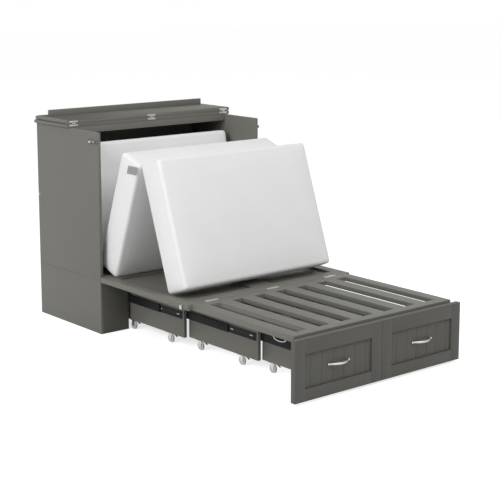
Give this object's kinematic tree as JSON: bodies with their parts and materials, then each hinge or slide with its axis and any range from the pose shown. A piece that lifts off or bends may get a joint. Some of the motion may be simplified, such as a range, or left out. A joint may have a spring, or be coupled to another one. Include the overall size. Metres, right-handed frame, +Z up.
{
  "type": "cabinet bed",
  "caption": "Cabinet bed with a folding lid, a drop-down front panel, a slatted panel and nested sections on casters that roll out to carry a folding mattress.",
  "frame": {"origin": "centre of the overall box on the floor, at rest with the bed opened out", "axes": "+X to the bed's right seen from the foot, +Y towards the back of the cabinet, +Z up"},
  "size_m": [1.152, 2.209, 1.1696],
  "materials": {
    "painted_side": "satin paint",
    "painted_front": "satin paint",
    "painted_inside": "satin paint",
    "painted_top": "satin paint",
    "painted_rail": "satin paint",
    "nickel": "satin",
    "zinc": "bright zinc",
    "slide_black": "black zinc",
    "caster_wheel": "matte",
    "ticking": "woven",
    "strap": "woven"
  },
  "bodies": {
    "cabinet": {"base_left": "painted_side", "base_right": "painted_side", "base_stiles": "painted_front", "base_inner_walls": "painted_inside", "base_back": "painted_inside", "cabinet_floor": "painted_inside", "side_left": "painted_side", "side_right": "painted_side", "back_panel": "painted_inside", "rear_top": "painted_top", "top_rail": "painted_inside", "cabinet_hinge_leaves": "nickel", "base_slide_channels": "slide_black", "bolt_guides": "nickel", "side_caps": "zinc", "mattress_back": "ticking"},
    "mattress_tent": {"mattress_middle": "ticking", "mattress_foot": "ticking", "mattress_tab": "strap"},
    "lid": {"lid_board": "painted_top", "lid_strip": "painted_top", "lid_hinge_leaves": "nickel"},
    "front_panel": {"front_panel_frame": "painted_top", "front_panel_infill": "painted_inside", "front_panel_hinge_leaves": "nickel", "bolt_keepers": "nickel"},
    "slat_panel": {"slat_panel_board": "painted_top", "slat_panel_hinge_leaves": "nickel", "grab_loop": "zinc"},
    "section_1": {"section_1_frame": "painted_rail", "section_1_slides": "slide_black", "section_1_fittings": "zinc"},
    "section_2": {"section_2_frame": "painted_rail", "section_2_slides": "slide_black", "section_2_fittings": "zinc"},
    "section_3": {"section_3_frame": "painted_rail", "section_3_slides": "slide_black", "section_3_fittings": "zinc", "drawer_front_frame": "painted_front", "drawer_front_infill": "painted_front", "drawer_pulls": "nickel"},
    "middle_1": {"slides_middle_1": "slide_black"},
    "middle_2": {"slides_middle_2": "slide_black"},
    "middle_3": {"slides_middle_3": "slide_black"},
    "bolt_left": {"bolt_left": "nickel"},
    "bolt_right": {"bolt_right": "nickel"},
    "wheel_1_left_back": {"wheel_1_left_back": "caster_wheel"},
    "wheel_1_left_front": {"wheel_1_left_front": "caster_wheel"},
    "wheel_1_right_back": {"wheel_1_right_back": "caster_wheel"},
    "wheel_1_right_front": {"wheel_1_right_front": "caster_wheel"},
    "wheel_2_left_back": {"wheel_2_left_back": "caster_wheel"},
    "wheel_2_left_front": {"wheel_2_left_front": "caster_wheel"},
    "wheel_2_right_back": {"wheel_2_right_back": "caster_wheel"},
    "wheel_2_right_front": {"wheel_2_right_front": "caster_wheel"},
    "wheel_3_left_back": {"wheel_3_left_back": "caster_wheel"},
    "wheel_3_left_front": {"wheel_3_left_front": "caster_wheel"},
    "wheel_3_right_back": {"wheel_3_right_back": "caster_wheel"},
    "wheel_3_right_front": {"wheel_3_right_front": "caster_wheel"}
  },
  "joints": [
    {"name": "lid_fold", "type": "hinge", "parent": "cabinet", "child": "lid", "pos_m": [0, 0.7679, 1.1135], "axis": [1, 0, 0], "range_deg": [0, 180]},
    {"name": "front_panel_fold", "type": "hinge", "parent": "cabinet", "child": "front_panel", "pos_m": [0, 0.4849, 0.3166], "axis": [-1, 0, 0], "range_deg": [0, 90], "deforming": ["mattress_back", "mattress_middle", "mattress_foot", "mattress_tab"]},
    {"name": "slat_panel_fold", "type": "hinge", "parent": "front_panel", "child": "slat_panel", "pos_m": [0, -0.285, 0.3176], "axis": [-1, 0, 0], "range_deg": [0, 180]},
    {"name": "mattress_lift", "type": "slide", "parent": "cabinet", "child": "mattress_tent", "axis": [0, 0, 1], "range_m": [0, 0.033]},
    {"name": "section_1_slide", "type": "slide", "parent": "cabinet", "child": "section_1", "axis": [0, 1, 0], "range_m": [0, 0.484]},
    {"name": "middle_1_slide", "type": "slide", "parent": "cabinet", "child": "middle_1", "axis": [0, 1, 0], "range_m": [0, 0.3]},
    {"name": "section_2_slide", "type": "slide", "parent": "section_1", "child": "section_2", "axis": [0, 1, 0], "range_m": [0, 0.558]},
    {"name": "middle_2_slide", "type": "slide", "parent": "section_1", "child": "middle_2", "axis": [0, 1, 0], "range_m": [0, 0.346]},
    {"name": "section_3_slide", "type": "slide", "parent": "section_2", "child": "section_3", "axis": [0, 1, 0], "range_m": [0, 0.476]},
    {"name": "middle_3_slide", "type": "slide", "parent": "section_2", "child": "middle_3", "axis": [0, 1, 0], "range_m": [0, 0.301]},
    {"name": "wheel_1_left_back_spin", "type": "hinge", "parent": "section_1", "child": "wheel_1_left_back", "pos_m": [-0.348, 0.4665, 0.023], "axis": [1, 0, 0], "continuous": true},
    {"name": "wheel_1_left_front_spin", "type": "hinge", "parent": "section_1", "child": "wheel_1_left_front", "pos_m": [-0.348, 0.1275, 0.023], "axis": [1, 0, 0], "continuous": true},
    {"name": "wheel_1_right_back_spin", "type": "hinge", "parent": "section_1", "child": "wheel_1_right_back", "pos_m": [0.348, 0.4665, 0.023], "axis": [1, 0, 0], "continuous": true},
    {"name": "wheel_1_right_front_spin", "type": "hinge", "parent": "section_1", "child": "wheel_1_right_front", "pos_m": [0.348, 0.1275, 0.023], "axis": [1, 0, 0], "continuous": true},
    {"name": "wheel_2_left_back_spin", "type": "hinge", "parent": "section_2", "child": "wheel_2_left_back", "pos_m": [-0.317, -0.0885, 0.023], "axis": [1, 0, 0], "continuous": true},
    {"name": "wheel_2_left_front_spin", "type": "hinge", "parent": "section_2", "child": "wheel_2_left_front", "pos_m": [-0.317, -0.4255, 0.023], "axis": [1, 0, 0], "continuous": true},
    {"name": "wheel_2_right_back_spin", "type": "hinge", "parent": "section_2", "child": "wheel_2_right_back", "pos_m": [0.317, -0.0885, 0.023], "axis": [1, 0, 0], "continuous": true},
    {"name": "wheel_2_right_front_spin", "type": "hinge", "parent": "section_2", "child": "wheel_2_right_front", "pos_m": [0.317, -0.4255, 0.023], "axis": [1, 0, 0], "continuous": true},
    {"name": "wheel_3_left_back_spin", "type": "hinge", "parent": "section_3", "child": "wheel_3_left_back", "pos_m": [-0.286, -0.6235, 0.023], "axis": [1, 0, 0], "continuous": true},
    {"name": "wheel_3_left_front_spin", "type": "hinge", "parent": "section_3", "child": "wheel_3_left_front", "pos_m": [-0.286, -0.9335, 0.023], "axis": [1, 0, 0], "continuous": true},
    {"name": "wheel_3_right_back_spin", "type": "hinge", "parent": "section_3", "child": "wheel_3_right_back", "pos_m": [0.286, -0.6235, 0.023], "axis": [1, 0, 0], "continuous": true},
    {"name": "wheel_3_right_front_spin", "type": "hinge", "parent": "section_3", "child": "wheel_3_right_front", "pos_m": [0.286, -0.9335, 0.023], "axis": [1, 0, 0], "continuous": true},
    {"name": "bolt_left_slide", "type": "slide", "parent": "cabinet", "child": "bolt_left", "axis": [0, -1, 0], "range_m": [0, 0.026]},
    {"name": "bolt_right_slide", "type": "slide", "parent": "cabinet", "child": "bolt_right", "axis": [0, -1, 0], "range_m": [0, 0.026]}
  ],
  "couplings": [
    {"joint": "mattress_lift", "follows": "slat_panel_fold", "m_per_rad": 0.010504},
    {"joint": "section_1_slide", "follows": "front_panel_fold", "m_per_rad": 0.30812},
    {"joint": "middle_1_slide", "follows": "front_panel_fold", "m_per_rad": 0.19099},
    {"joint": "section_2_slide", "follows": "front_panel_fold", "m_per_rad": 0.35523},
    {"joint": "middle_2_slide", "follows": "front_panel_fold", "m_per_rad": 0.22027},
    {"joint": "section_3_slide", "follows": "front_panel_fold", "m_per_rad": 0.30303},
    {"joint": "middle_3_slide", "follows": "front_panel_fold", "m_per_rad": 0.19162}
  ]
}
